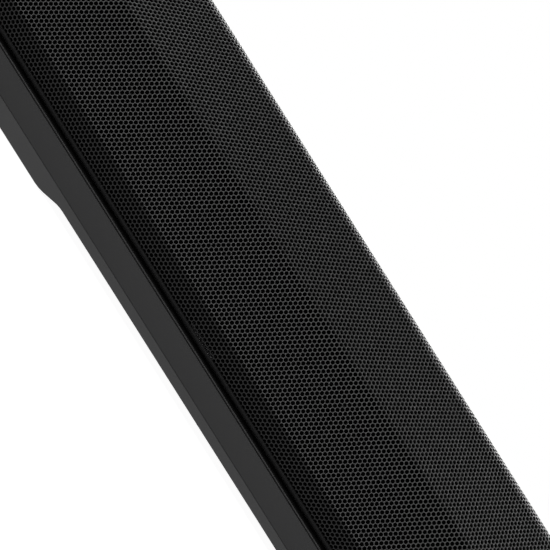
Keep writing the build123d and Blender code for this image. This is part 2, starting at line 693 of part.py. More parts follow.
with BuildPart() as port_panel:
    with BuildSketch(Plane.XZ.offset(-BAY_Y)):
        with Locations((0, (LEDGE_Z + BAY_TOP) / 2)):
            Rectangle(2 * BAY_HALF + 4, BAY_TOP + 4 - LEDGE_Z)
        for spot_x, spot_z, size in socket_spots():
            with Locations((spot_x, spot_z)):
                Rectangle(size[0] + 2 * SLIP, size[1] + 2 * SLIP, mode=Mode.SUBTRACT)
    extrude(amount=PANEL_THICK)
save(port_panel, "port_panel")


def socket(x, z, size, depth, mouth, mouth_depth, tongue=None, tongue_rise=0.0):
    """A box-shaped socket whose mouth opens to the rear, with its contact tongue if it has one."""
    with BuildPart() as body:
        with BuildSketch(Plane.XZ.offset(-SOCKET_FRONT)):
            with Locations((x, z)):
                RectangleRounded(size[0], size[1], 0.6)
        extrude(amount=depth)
        with BuildSketch(Plane.XZ.offset(-SOCKET_FRONT)):
            with Locations((x, z)):
                RectangleRounded(mouth[0], mouth[1], 0.5)
        extrude(amount=mouth_depth, mode=Mode.SUBTRACT)
        if tongue:
            with Locations((x, SOCKET_FRONT - mouth_depth + tongue[1] / 2, z + tongue_rise)):
                Box(*tongue)
    return body


hdmi_z = BOARD_TOP + HDMI_SIZE[1] / 2
hdmi_socket = socket(0, hdmi_z, HDMI_SIZE, 12, (14.0, 4.6), 10, (11.0, 8.5, 1.2), -0.2)
copies(hdmi_socket, HDMI_X, "hdmi_sockets")

usb_z = BOARD_TOP + USB_SIZE[1] / 2
usb_socket = socket(USB_X, usb_z, USB_SIZE, 14, (12.5, 5.1), 12, (11.4, 10, 1.8), 1.0)
save(usb_socket, "usb_socket")

optical_z = BOARD_TOP + OPTICAL_SIZE[1] / 2
OPTICAL_MOUTH = 9.2
optical_socket = socket(OPTICAL_X, optical_z, OPTICAL_SIZE, 16, (OPTICAL_MOUTH, OPTICAL_MOUTH), 14)
save(optical_socket, "optical_socket")

SHUTTER_HINGE = (OPTICAL_X, SOCKET_FRONT - 1.6, optical_z + OPTICAL_MOUTH / 2 - 0.9)
SHUTTER_SIZE = OPTICAL_MOUTH - 0.8

with BuildPart() as optical_shutter:
    with BuildSketch(Plane.YZ.offset(OPTICAL_X)):
        with Locations((SHUTTER_HINGE[1], SHUTTER_HINGE[2])):
            Circle(0.5)
        with Locations((SHUTTER_HINGE[1], SHUTTER_HINGE[2] - (SHUTTER_SIZE - 1) / 2)):
            Rectangle(0.7, SHUTTER_SIZE - 1)
    extrude(amount=SHUTTER_SIZE / 2, both=True)
save(optical_shutter, "optical_shutter")

aux_body = socket(AUX_X, AUX_Z, AUX_SIZE, 13, (5.6, 5.6), 0.6)
with BuildPart() as aux_jack:
    add(aux_body.part)
    with BuildSketch(Plane.XZ.offset(-SOCKET_FRONT)):
        with Locations((AUX_X, AUX_Z)):
            Circle(1.75)
    extrude(amount=12, mode=Mode.SUBTRACT)
save(aux_jack, "aux_jack")

PIN_SPOTS = [(INLET_X - 4.3, INLET_Z), (INLET_X + 4.3, INLET_Z)]
PIN_RADIUS = 1.2
PIN_REACH = 21.0  # from the inlet's face to the pins' solder ends
INLET_MOUTH = (18.4, 9.4)

with BuildPart() as power_inlet:
    with BuildSketch(Plane.XZ.offset(-SOCKET_FRONT)):
        with Locations((INLET_X, INLET_Z)):
            RectangleRounded(*INLET_SIZE, 2)
    extrude(amount=20)
    with BuildSketch(Plane.XZ.offset(-SOCKET_FRONT)):
        with Locations((INLET_X, INLET_Z)):
            SlotOverall(*INLET_MOUTH)
    extrude(amount=16, mode=Mode.SUBTRACT)
    with BuildSketch(Plane.XZ.offset(-SOCKET_FRONT)):
        with Locations(*PIN_SPOTS):
            Circle(PIN_RADIUS + 0.05)
    extrude(amount=PIN_REACH, mode=Mode.SUBTRACT)
save(power_inlet, "power_inlet")

with BuildPart() as inlet_pins:
    with BuildSketch(Plane.XZ.offset(-SOCKET_FRONT + 4)):
        with Locations(*PIN_SPOTS):
            Circle(PIN_RADIUS)
    extrude(amount=PIN_REACH)
    fillet(inlet_pins.edges().group_by(Axis.Y)[-1], 0.6)
save(inlet_pins, "inlet_pins")

# ---------------------------------------------------------------- electronics

MAIN_BOARD = (-100.0, 58.0, 8.0, 43.5)
POWER_BOARD = (130.0, 300.0, 8.0, 52.0)


def board(bounds, z, name):
    """A printed board between two X and two Y limits, with corner holes."""
    x0, x1, y0, y1 = bounds
    with BuildPart() as card:
        with BuildSketch(Plane.XY.offset(z)):
            with Locations(((x0 + x1) / 2, (y0 + y1) / 2)):
                RectangleRounded(x1 - x0, y1 - y0, 1.5)
                with GridLocations(x1 - x0 - 8, y1 - y0 - 8, 2, 2):
                    Circle(1.4, mode=Mode.SUBTRACT)
        extrude(amount=BOARD_THICK)
    save(card, name)


board(MAIN_BOARD, MAIN_BOARD_Z, "main_board")
board(POWER_BOARD, POWER_BOARD_Z, "power_board")

with BuildPart() as board_standoffs:
    for bounds, board_z in ((MAIN_BOARD, MAIN_BOARD_Z), (POWER_BOARD, POWER_BOARD_Z)):
        with BuildSketch(Plane.XY.offset(FLOOR_Z)):
            with Locations(((bounds[0] + bounds[1]) / 2, (bounds[2] + bounds[3]) / 2)):
                with GridLocations(bounds[1] - bounds[0] - 8, bounds[3] - bounds[2] - 8, 2, 2):
                    RegularPolygon(3, 6)
        extrude(amount=board_z - FLOOR_Z)
save(board_standoffs, "board_standoffs")

CHIPS = [(-70, 26, 14, 14), (-48, 28, 9, 9), (-36, 18, 7, 5), (-90, 22, 5, 7), (6, 16, 6, 4), (44, 24, 8, 8)]

with BuildPart() as board_chips:
    for chip_x, chip_y, chip_w, chip_d in CHIPS:
        with BuildSketch(Plane.XY.offset(BOARD_TOP)):
            with Locations((chip_x, chip_y)):
                Rectangle(chip_w, chip_d)
        extrude(amount=1.4)
    chamfer(board_chips.faces().group_by(Axis.Z)[-1].edges(), 0.2)
save(board_chips, "board_chips")

SINK_SPOT = (-14.0, 17.0)
SINK_SIZE = (20.0, 14.0)
SINK_FOOT, SINK_RISE = 3.0, 14.0
FINS = 7

with BuildPart() as heat_sink:
    with Locations((*SINK_SPOT, BOARD_TOP)):
        Box(*SINK_SIZE, SINK_FOOT, align=UPWARDS)
        with GridLocations((SINK_SIZE[0] - 1) / (FINS - 1), 0, FINS, 1):
            Box(1.0, SINK_SIZE[1], SINK_RISE, align=UPWARDS)
save(heat_sink, "heat_sink")

POWER_TOP = POWER_BOARD_Z + BOARD_THICK

CORE_X, CORE_Y, CORE_Z = 200.0, 30.0, POWER_TOP + 10
CORE_SIZE = (30.0, 24.0, 20.0)
WINDING = (19.0, 11.0)
WINDING_HALF = 13.5

with BuildPart() as transformer:
    with Locations((CORE_X, CORE_Y, CORE_Z)):
        Box(*CORE_SIZE)
        Box(WINDING[0] + 1, CORE_SIZE[1], WINDING[1] + 1, mode=Mode.SUBTRACT)
    with BuildSketch(Plane.XZ.offset(-CORE_Y)):
        with Locations((CORE_X, CORE_Z)):
            RectangleRounded(*WINDING, 2)
    extrude(amount=WINDING_HALF, both=True)
    chamfer(transformer.edges().filter_by(Axis.Y).group_by(Axis.Z)[-1], 0.6)
save(transformer, "transformer")

CAPACITORS = [(245, 22, 8, 24), (245, 41, 8, 24), (270, 24, 6, 18), (284, 24, 5, 14), (165, 22, 5, 14)]

with BuildPart() as capacitors:
    for can_x, can_y, can_radius, can_height in CAPACITORS:
        with BuildSketch(Plane.XY.offset(POWER_TOP)):
            with Locations((can_x, can_y)):
                Circle(can_radius)
        extrude(amount=can_height)
    fillet(capacitors.edges().filter_by(GeomType.CIRCLE), 0.6)
save(capacitors, "capacitors")

MODULE_X, MODULE_Z = -150.0, 40.0

with BuildPart() as wireless_module:
    with BuildSketch(Plane.XZ.offset(-FRAME_REAR)):
        with Locations((MODULE_X, MODULE_Z)):
            Rectangle(36, 22)
    extrude(amount=-BOARD_THICK)
    with BuildSketch(Plane.XZ.offset(-FRAME_REAR - BOARD_THICK)):
        with Locations((MODULE_X, MODULE_Z)):
            Rectangle(22, 15)
    extrude(amount=-2)
save(wireless_module, "wireless_module")

with BuildPart() as antennas:
    with BuildSketch(Plane.XZ.offset(-FRAME_REAR)):
        with Locations((-260, 58), (150, 58)):
            Rectangle(44, 9)
    extrude(amount=-0.4)
save(antennas, "antennas")

HARNESS_Y = FRAME_REAR + 6.0
HARNESS_STARTS = [(-1, -96.0), (1, 54.0)]  # side of the bar, and X on the main board

with BuildPart() as speaker_harness:
    for side, start_x in HARNESS_STARTS:
        end_x = side * HARNESS_HOLE_X
        route = [
            (start_x, HARNESS_Y, BOARD_TOP), (start_x, HARNESS_Y, HARNESS_Z), (end_x, HARNESS_Y, HARNESS_Z),
            (end_x, CHAMBER_Y - 16, HARNESS_Z),
        ]
        with BuildLine() as lead:
            FilletPolyline(*route, radius=[7, 7])
        with BuildSketch(Plane(origin=route[0], z_dir=(0, 0, 1))):
            Circle(1.5)
        sweep(path=lead.line)
save(speaker_harness, "speaker_harness")

LEAD_Y, LEAD_X = 14.0, 140.0

with BuildPart() as power_lead:
    lead_start = (INLET_X, SOCKET_FRONT - PIN_REACH, INLET_Z)
    route = [lead_start, (INLET_X, LEAD_Y, INLET_Z), (LEAD_X, LEAD_Y, INLET_Z), (LEAD_X, LEAD_Y, POWER_TOP)]
    with BuildLine() as mains:
        FilletPolyline(*route, radius=[6, 6])
    with BuildSketch(Plane(origin=lead_start, z_dir=(0, -1, 0))):
        Circle(2.2)
    sweep(path=mains.line)
save(power_lead, "power_lead")

# ---------------------------------------------------------------- top controls and front display

board((-86.0, 86.0, BUTTON_Y - 11, BUTTON_Y + 11), BUTTON_BOARD_Z, "button_board")

with BuildPart() as tact_switches:
    with BuildSketch(Plane.XY.offset(BUTTON_BOARD_TOP)):
        with Locations(*[(x, BUTTON_Y) for x in BUTTON_X]):
            RectangleRounded(6, 6, 0.5)
    extrude(amount=3.2)
    with BuildSketch(Plane.XY.offset(BUTTON_BOARD_TOP)):
        with Locations(*[(x, BUTTON_Y) for x in BUTTON_X]):
            Circle(1.6)
    extrude(amount=PLUNGER_Z - BUTTON_BOARD_TOP)
save(tact_switches, "tact_switches")

BUTTON_TOP = TOP_Z - 0.2
BUTTON_LOW = TOP_Z - WALL - FIT  # underside of a button's round body
FLANGE_LOW = TOP_Z - WALL - 1.2
STEM_Z = PLUNGER_Z + BUTTON_TRAVEL + SLIP
MARK = 4.8
MARK_DEPTH = 0.25


def button_mark(name):
    """Draw the plain engraved mark on a button."""
    if name == "power":
        Circle(MARK / 2)
        Circle(MARK / 2 - 0.6, mode=Mode.SUBTRACT)
    elif name == "source":
        Rectangle(MARK, 3.6)
        Rectangle(MARK - 1.2, 2.4, mode=Mode.SUBTRACT)
    elif name == "play":
        RegularPolygon(MARK / 2, 3)
    else:
        Rectangle(MARK, 0.7)
        if name == "volume_up":
            Rectangle(0.7, MARK)


def button(name, x):
    """A round push button with a flange under the cover, a stem, and its mark."""
    with BuildPart() as key:
        with BuildSketch(Plane.XY.offset(FLANGE_LOW)):
            with Locations((x, BUTTON_Y)):
                Circle(BUTTON_RADIUS + 1.4)
        extrude(amount=1.0)
        with BuildSketch(Plane.XY.offset(BUTTON_LOW)):
            with Locations((x, BUTTON_Y)):
                Circle(BUTTON_RADIUS)
        extrude(amount=BUTTON_TOP - BUTTON_LOW)
        fillet(key.edges().group_by(Axis.Z)[-1], 0.5)
        with BuildSketch(Plane.XY.offset(STEM_Z)):
            with Locations((x, BUTTON_Y)):
                Circle(2.2)
        extrude(amount=FLANGE_LOW + SLIP - STEM_Z)
        with BuildSketch(Plane.XY.offset(BUTTON_TOP)):
            with Locations((x, BUTTON_Y)):
                button_mark(name)
        extrude(amount=-MARK_DEPTH, mode=Mode.SUBTRACT)
    save(key, f"button_{name}")


for button_name, button_x in zip(BUTTON_NAMES, BUTTON_X):
    button(button_name, button_x)

DISPLAY_X, RECEIVER_X = 170.0, -170.0

with BuildPart() as display_board:
    with BuildSketch(baffle_plane(DISPLAY_X)):
        RectangleRounded(38, 18, 1)
    extrude(amount=BOARD_THICK)
    with BuildSketch(baffle_plane(DISPLAY_X, BOARD_THICK)):
        with GridLocations(8, 1, 4, 1):
            Rectangle(6.4, 10)
    extrude(amount=2.5)
save(display_board, "display_board")

with BuildPart() as infrared_receiver:
    with BuildSketch(baffle_plane(RECEIVER_X)):
        RectangleRounded(20, 14, 1)
    extrude(amount=BOARD_THICK)
    with BuildSketch(baffle_plane(RECEIVER_X, BOARD_THICK)):
        Rectangle(5.5, 7)
    extrude(amount=2)
    with BuildSketch(baffle_plane(RECEIVER_X, BOARD_THICK + 2)):
        Circle(2.2)
    extrude(amount=1.6)
    fillet(infrared_receiver.faces().sort_by(OUTWARD)[-1].edges(), 1.2)
save(infrared_receiver, "infrared_receiver")
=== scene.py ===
import json
from math import atan2, cos, hypot, pi, radians, sin, sqrt, tan

import bmesh
import bpy
import numpy as np
from mathutils import Matrix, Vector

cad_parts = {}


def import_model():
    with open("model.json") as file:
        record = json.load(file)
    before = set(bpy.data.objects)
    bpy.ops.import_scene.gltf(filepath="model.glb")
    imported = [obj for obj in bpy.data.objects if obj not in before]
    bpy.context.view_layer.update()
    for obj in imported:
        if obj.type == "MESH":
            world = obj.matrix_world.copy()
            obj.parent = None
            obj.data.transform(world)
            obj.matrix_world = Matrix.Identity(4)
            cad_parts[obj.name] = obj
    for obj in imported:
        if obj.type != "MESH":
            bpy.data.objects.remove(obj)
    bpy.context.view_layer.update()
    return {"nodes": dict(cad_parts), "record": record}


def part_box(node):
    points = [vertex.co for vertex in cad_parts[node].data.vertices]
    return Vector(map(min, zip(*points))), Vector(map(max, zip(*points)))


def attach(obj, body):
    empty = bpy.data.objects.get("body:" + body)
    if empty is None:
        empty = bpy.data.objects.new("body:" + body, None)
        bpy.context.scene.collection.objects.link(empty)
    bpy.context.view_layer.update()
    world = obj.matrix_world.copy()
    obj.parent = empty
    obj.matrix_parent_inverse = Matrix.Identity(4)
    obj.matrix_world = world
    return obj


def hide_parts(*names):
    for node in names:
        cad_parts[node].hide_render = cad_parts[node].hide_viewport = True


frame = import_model()

MM = 0.001

# ---------------------------------------------------------------- places read from the frame

GRILLE_LOW, GRILLE_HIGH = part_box("front_grille")
FRONT = GRILLE_LOW.y
BODY_Z = GRILLE_LOW.z
TOP_Z = GRILLE_HIGH.z
GRILLE_REAR = GRILLE_HIGH.y
GRILLE_LEFT, GRILLE_RIGHT = GRILLE_LOW.x, GRILLE_HIGH.x

# The grille's outer fold line, in depth behind the front and in height.
GRILLE_THICK = 0.6 * MM
RETURN_DEPTH = 6.5 * MM  # of the inner end of its bottom return
UNDERCUT = 3.57 * MM  # from the low crease back to the curl at its foot
LOW_CREASE = (FRONT, 21.95 * MM)
HIGH_CREASE = (FRONT + 3.5 * MM, 48.4 * MM)
RIM_DEPTH = 21.0 * MM
REAR_LIP = 2.6 * MM
GRILLE_CORNERS = [
    (FRONT + RETURN_DEPTH, BODY_Z),
    (FRONT + UNDERCUT, BODY_Z),
    LOW_CREASE,
    HIGH_CREASE,
    (FRONT + RIM_DEPTH, TOP_Z),
    (GRILLE_REAR, TOP_Z),
    (GRILLE_REAR, TOP_Z - REAR_LIP),
]
GRILLE_RADII = [3.8 * MM, 1.4 * MM, 1.2 * MM, 6.0 * MM, 0.9 * MM]

# Its punched holes, in staggered rows along X, each in a hexagonal cell.
HOLE_PITCH = 1.4 * MM
ROW_STEP = 1.2 * MM
HOLE_RADIUS = 0.62 * MM
HOLE_SIDES = 12
RIM_ROLL = radians(25)  # how far the painted edge of a hole rolls inwards
CELL_RADIUS = HOLE_PITCH / sqrt(3)
CELL_SQUASH = 2 * ROW_STEP / (sqrt(3) * HOLE_PITCH)  # 1 where the rows stand as in a regular pattern
CELL_SIDES = 6
CELL_START, CELL_TURN = radians(30), radians(60)
SAME_CORNER = 0.001 * MM  # cell corners this near are one vertex
FIRST_ROW = 4.42 * MM  # along the sheet, from the inner end of its bottom return
END_MARGIN = 1.2 * MM
REAR_MARGIN = 3.0 * MM
EDGING = 0.2 * MM  # plain sheet past the first and last rows' cells
PANELS = 11
# WALL holds the painted shade on the holes' walls, FOLD the painted light on the plain fold
PAINT, WALL, FOLD = 0, 1, 2  # a panel's material slots

ON_PATH = 1e-9  # slack in lengths along a path
SHORTEST_STEP = 1e-7
BEND_STEPS = 6
SHARP_FOLD = radians(35)


# ---------------------------------------------------------------- mesh helpers


def make_object(name, vertices, faces, smooth=True):
    """A mesh object from vertex and face lists."""
    mesh = bpy.data.meshes.new(name)
    mesh.from_pydata([tuple(v) for v in vertices], [], [tuple(f) for f in faces])
    mesh.validate()
    if smooth:
        mesh.shade_smooth()
    piece = bpy.data.objects.new(name, mesh)
    bpy.context.scene.collection.objects.link(piece)
    return piece


def rounded_path(corners, radii):
    """A path with right-hand bends, as (start, length, y, z, heading, radius) runs, and its length.

    A run with a radius of 0 is straight.
    """
    headings = [atan2(z1 - z0, y1 - y0) for (y0, z0), (y1, z1) in zip(corners, corners[1:])]
    cuts = [0.0]
    for index, radius in enumerate(radii):
        turn = (headings[index] - headings[index + 1]) % (2 * pi)
        cuts.append(radius * tan(turn / 2))
    cuts.append(0.0)
    runs, travelled = [], 0.0
    for index, heading in enumerate(headings):
        (y0, z0), (y1, z1) = corners[index], corners[index + 1]
        length = hypot(y1 - y0, z1 - z0) - cuts[index] - cuts[index + 1]
        y = y0 + cuts[index] * cos(heading)
        z = z0 + cuts[index] * sin(heading)
        runs.append((travelled, length, y, z, heading, 0.0))
        travelled += length
        if index < len(radii):
            turn = (heading - headings[index + 1]) % (2 * pi)
            y, z = y + length * cos(heading), z + length * sin(heading)
            runs.append((travelled, radii[index] * turn, y, z, heading, radii[index]))
            travelled += radii[index] * turn
    return runs, travelled


def along(runs, s, depth=0.0):
    """Points (y, z) at lengths s along a path, sunk by depth under its surface, and outward normals."""
    s = np.asarray(s, float)
    point = np.zeros(s.shape + (2,))
    normal = np.zeros(s.shape + (2,))
    for start, length, y, z, heading, radius in runs:
        here = (s >= start - ON_PATH) & (s <= start + length + ON_PATH)
        t = s[here] - start
        if radius:
            turned = heading - t / radius
            centre = (y + radius * sin(heading), z - radius * cos(heading))
            normal[here] = np.stack([-np.sin(turned), np.cos(turned)], -1)
            point[here] = centre + radius * normal[here]
        else:
            point[here] = np.stack([y + t * cos(heading), z + t * sin(heading)], -1)
            normal[here] = (-sin(heading), cos(heading))
    return point - depth * normal, normal


# ---------------------------------------------------------------- perforated grille

grille_runs, grille_length = rounded_path(GRILLE_CORNERS, GRILLE_RADII)


def to_space(x, s, depth=0.0):
    """Points and normals in space for places (x, s) on the grille laid flat."""
    point, normal = along(grille_runs, s, depth)
    x = np.broadcast_to(x, np.shape(s))[..., None]
    return np.concatenate([x, point], -1), np.concatenate([np.zeros_like(x), normal], -1)


FIELD_END = grille_length - grille_runs[-1][1] - grille_runs[-2][1] - REAR_MARGIN  # short of the rear bend
ROWS = int((FIELD_END - FIRST_ROW) / ROW_STEP) + 1
LAST_ROW = FIRST_ROW + (ROWS - 1) * ROW_STEP
COLUMNS = int((GRILLE_RIGHT - GRILLE_LEFT - 2 * END_MARGIN) / HOLE_PITCH) - 1
FIRST_COLUMN = (GRILLE_LEFT + GRILLE_RIGHT) / 2 - (COLUMNS - 0.5) * HOLE_PITCH / 2
LOW_EDGE = FIRST_ROW - CELL_RADIUS - EDGING
HIGH_EDGE = LAST_ROW + CELL_RADIUS + EDGING


def perforated_panel(name, first, last):
    """Columns first to last of the punched field: a hexagonal cell round every hole, and the hole's wall."""
    column, row = np.meshgrid(np.arange(first, last), np.arange(ROWS))
    x = (FIRST_COLUMN + (column + 0.5 * (row % 2)) * HOLE_PITCH).ravel()
    s = (FIRST_ROW + row * ROW_STEP).ravel()
    holes = len(x)

    corner_angle = CELL_START + np.arange(CELL_SIDES) * CELL_TURN
    corner_x = x[:, None] + CELL_RADIUS * np.cos(corner_angle)
    corner_s = s[:, None] + CELL_RADIUS * CELL_SQUASH * np.sin(corner_angle)
    keys = np.round(np.stack([corner_x.ravel(), corner_s.ravel()], -1) / SAME_CORNER).astype(np.int64)
    _, where, shared = np.unique(keys, axis=0, return_index=True, return_inverse=True)
    shared = shared.reshape(holes, CELL_SIDES)
    flat_x, flat_s = corner_x.ravel()[where], corner_s.ravel()[where]

    rim_angle = CELL_START + np.arange(HOLE_SIDES) * 2 * pi / HOLE_SIDES
    rim_x = x[:, None] + HOLE_RADIUS * np.cos(rim_angle)
    rim_s = s[:, None] + HOLE_RADIUS * np.sin(rim_angle)
    corner_points, corner_normals = to_space(flat_x, flat_s)
    rim_points, rim_out = to_space(rim_x, rim_s)
    wall_points, _ = to_space(rim_x, rim_s, GRILLE_THICK)
    inward = np.zeros_like(rim_points)
    inward[..., 0] = -np.cos(rim_angle)
    inward[..., 1] = -np.sin(rim_angle) * rim_out[..., 2]
    inward[..., 2] = np.sin(rim_angle) * rim_out[..., 1]
    rim_normals = rim_out * cos(RIM_ROLL) + inward * sin(RIM_ROLL)

    rims = holes * HOLE_SIDES
    rim = len(flat_x) + np.arange(rims).reshape(holes, HOLE_SIDES)
    wall = rim + rims
    triangles = []
    for side in range(CELL_SIDES):
        low, high = shared[:, side], shared[:, (side + 1) % CELL_SIDES]
        near, middle, far = (rim[:, (2 * side + step) % HOLE_SIDES] for step in range(3))
        for corners in ((low, high, middle), (low, middle, near), (high, far, middle)):
            triangles.append(np.stack(corners, -1))
    quads = []
    for side in range(HOLE_SIDES):
        after = (side + 1) % HOLE_SIDES
        quads.append(np.stack([rim[:, side], rim[:, after], wall[:, after], wall[:, side]], -1))
    points = [corner_points, rim_points.reshape(-1, 3), wall_points.reshape(-1, 3)]
    normals = [corner_normals, rim_normals.reshape(-1, 3), inward.reshape(-1, 3)]

    # the plain edging along the field's bottom and top, and at the bar's ends
    count = len(flat_x) + 2 * rims
    grid = np.arange(holes).reshape(ROWS, last - first)

    def edging(flat_places, chain):
        """Quads from a chain of shared corners to a straight edge of new vertices at the given places."""
        nonlocal count
        edge_points, edge_normals = to_space(flat_places[0], flat_places[1])
        points.append(edge_points)
        normals.append(edge_normals)
        edge = count + np.arange(len(edge_points))
        count += len(edge_points)
        quads.append(np.stack([edge[:-1], edge[1:], chain[1:], chain[:-1]], -1))

    def chain_of(cells, corners):
        """The shared corners met in order by walking along some cells."""
        walk = shared[cells][:, corners].ravel()
        keep = np.append(True, walk[1:] != walk[:-1])
        return walk[keep]

    bottom = chain_of(grid[0], [3, 4, 5])
    edging((flat_x[bottom], np.full(len(bottom), LOW_EDGE)), bottom)
    top = chain_of(grid[-1], [2, 1, 0])[::-1]
    edging((flat_x[top], np.full(len(top), HIGH_EDGE)), top)
    if first == 0:
        side = chain_of(grid[:, 0], [3, 2])[::-1]
        edging((np.full(len(side), GRILLE_LEFT), flat_s[side]), side)
    if last == COLUMNS:
        side = chain_of(grid[:, -1], [5, 0])
        edging((np.full(len(side), GRILLE_RIGHT), flat_s[side]), side)

    points = np.concatenate(points)
    normals = np.concatenate(normals)
    triangles = np.concatenate(triangles)
    quads = np.concatenate(quads)
    mesh = bpy.data.meshes.new(name)
    corners = np.concatenate([triangles.ravel(), quads.ravel()])
    sizes = np.concatenate([np.full(len(triangles), 3), np.full(len(quads), 4)])
    mesh.vertices.add(len(points))
    mesh.vertices.foreach_set("co", points.astype(np.float32).ravel())
    mesh.loops.add(len(corners))
    mesh.loops.foreach_set("vertex_index", corners.astype(np.int32))
    mesh.polygons.add(len(sizes))
    mesh.polygons.foreach_set("loop_start", (np.cumsum(sizes) - sizes).astype(np.int32))
    # the hole walls take the painted-shade slot, the bottom edging the painted-light fold slot
    slots = np.full(len(sizes), PAINT, np.int32)
    walls_end = len(triangles) + rims
    slots[len(triangles):walls_end] = WALL
    slots[walls_end:walls_end + len(bottom) - 1] = FOLD
    mesh.polygons.foreach_set("material_index", slots)
    mesh.update(calc_edges=True)
    mesh.validate()
    mesh.shade_smooth()
    normals /= np.linalg.norm(normals, axis=1)[:, None]
    mesh.normals_split_custom_set_from_vertices([tuple(n) for n in normals])
    panel = bpy.data.objects.new(name, mesh)
    bpy.context.scene.collection.objects.link(panel)
    return panel


def folded_strip(name, runs, start, end, ends, depths):
    """A plain folded sheet between two lengths along a path, two ends in X and two depths under the path."""
    stops = {start, end}
    for run_start, length, *_, radius in runs:
        steps = BEND_STEPS if radius else 1
        stops |= {run_start + length * i / steps for i in range(steps + 1)}
    s = np.array(sorted(stop for stop in stops if start - ON_PATH <= stop <= end + ON_PATH))
    s = s[np.append(True, np.diff(s) > SHORTEST_STEP)]
    outer, _ = along(runs, s, depths[0])
    inner, _ = along(runs, s, depths[1])
    outline = np.concatenate([outer, inner[::-1]])
    count = len(outline)
    vertices = [(x, y, z) for x in ends for y, z in outline]
    faces = [(i, (i + 1) % count, (i + 1) % count + count, i + count) for i in range(count)]
    half = len(s)
    for i in range(half - 1):
        low = (i, i + 1, count - 2 - i, count - 1 - i)
        faces.append(low)
        faces.append(tuple(v + count for v in reversed(low)))
    piece = make_object(name, vertices, faces)
    mesh = bmesh.new()
    mesh.from_mesh(piece.data)
    bmesh.ops.recalc_face_normals(mesh, faces=mesh.faces)
    mesh.to_mesh(piece.data)
    mesh.free()
    piece.data.shade_smooth()
    piece.data.set_sharp_from_angle(angle=SHARP_FOLD)
    return piece


panel_bounds = [round(COLUMNS * i / PANELS) for i in range(PANELS + 1)]
grille_pieces = [
    perforated_panel(f"grille_panel_{i:02d}", *panel_bounds[i - 1:i + 1]) for i in range(1, PANELS + 1)
]
SHEET = ((GRILLE_LEFT, GRILLE_RIGHT), (0.0, GRILLE_THICK))
grille_pieces.append(folded_strip("grille_bottom_hem", grille_runs, 0.0, LOW_EDGE, *SHEET))
grille_pieces.append(folded_strip("grille_rear_hem", grille_runs, HIGH_EDGE, grille_length, *SHEET))
for piece in grille_pieces:
    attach(piece, "root")
    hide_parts("front_grille")

# The black cloth stretched behind the grille, from just above its curl to the top's flat.
SCRIM_LOW, SCRIM_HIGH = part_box("acoustic_scrim")
SCRIM_RISE = 2.8 * MM
SCRIM_DEPTHS = (0.7 * MM, 1.0 * MM)
SCRIM_REAR_GAP = 1.6 * MM
SCRIM_CORNERS = [
    (FRONT + UNDERCUT - UNDERCUT * SCRIM_RISE / (LOW_CREASE[1] - BODY_Z), BODY_Z + SCRIM_RISE),
    LOW_CREASE,
    HIGH_CREASE,
    (FRONT + RIM_DEPTH, TOP_Z),
    (GRILLE_REAR - SCRIM_REAR_GAP, TOP_Z),
]
SCRIM_RADII = [2.0 * MM, 2.0 * MM, 6.0 * MM]
SCRIM_ENDS = (SCRIM_LOW.x, SCRIM_HIGH.x)
scrim_runs, scrim_length = rounded_path(SCRIM_CORNERS, SCRIM_RADII)
scrim = folded_strip("acoustic_cloth", scrim_runs, 0.0, scrim_length, SCRIM_ENDS, SCRIM_DEPTHS)
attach(scrim, "root")
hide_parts("acoustic_scrim")

# ---------------------------------------------------------------- materials


NOISE_LOW, NOISE_HIGH = 0.3, 0.7  # noise seldom leaves this range
SHEEN_SIZE = 60 * MM
SHEEN_SWING = 0.08
ROUGHNESS_SWING = 0.05
PEEL_SIZE, PEEL_DEPTH = 0.9 * MM, 0.012 * MM
STREAK_SIZE, STREAK_DEPTH = 1.2 * MM, 0.004 * MM
STREAK_STRETCH = (1, 1, 8)
WEAVE_DEPTH = 0.05 * MM
GRAIN_DEPTH = 0.01 * MM
WAVE_RADIANS = 20  # of the wave texture's phase in a length of 1 / Scale


def material(name, colour, roughness, metallic=0.0, specular=0.5):
    """A Principled material, with its node tree, its shader node and an object-space coordinate output."""
    made = bpy.data.materials.new(name)
    made.use_nodes = True
    made.diffuse_color = (*colour, 1)
    tree = made.node_tree
    shader = tree.nodes["Principled BSDF"]
    shader.inputs["Base Color"].default_value = (*colour, 1)
    shader.inputs["Roughness"].default_value = roughness
    shader.inputs["Metallic"].default_value = metallic
    shader.inputs["Specular IOR Level"].default_value = specular
    place = tree.nodes.new("ShaderNodeTexCoord").outputs["Object"]
    return made, tree, shader, place


def noise(tree, place, size, detail=2.0, rough=0.5, stretch=None):
    """Noise whose grain is size metres, stretched if asked, as a factor output."""
    if stretch:
        mapping = tree.nodes.new("ShaderNodeMapping")
        mapping.inputs["Scale"].default_value = stretch
        tree.links.new(place, mapping.inputs["Vector"])
        place = mapping.outputs["Vector"]
    node = tree.nodes.new("ShaderNodeTexNoise")
    node.inputs["Scale"].default_value = 1.0 / size
    node.inputs["Detail"].default_value = detail
    node.inputs["Roughness"].default_value = rough
    tree.links.new(place, node.inputs["Vector"])
    return node.outputs["Fac"]


def remap(tree, value, source, target=(0.0, 1.0)):
    """A value taken from one range to another, and kept within it."""
    node = tree.nodes.new("ShaderNodeMapRange")
    for socket, limit in zip(("From Min", "From Max", "To Min", "To Max"), (*source, *target)):
        node.inputs[socket].default_value = limit
    tree.links.new(value, node.inputs["Value"])
    return node.outputs["Result"]


def spread(tree, grain, low, high):
    """A noise factor remapped to low..high."""
    return remap(tree, grain, (NOISE_LOW, NOISE_HIGH), (low, high))


def tint(tree, shader, factor, dark, light):
    """Base colour mixed from dark to light by a factor."""
    node = tree.nodes.new("ShaderNodeMix")
    node.data_type = "RGBA"
    node.inputs["A"].default_value = (*dark, 1)
    node.inputs["B"].default_value = (*light, 1)
    tree.links.new(factor, node.inputs["Factor"])
    tree.links.new(node.outputs["Result"], shader.inputs["Base Color"])


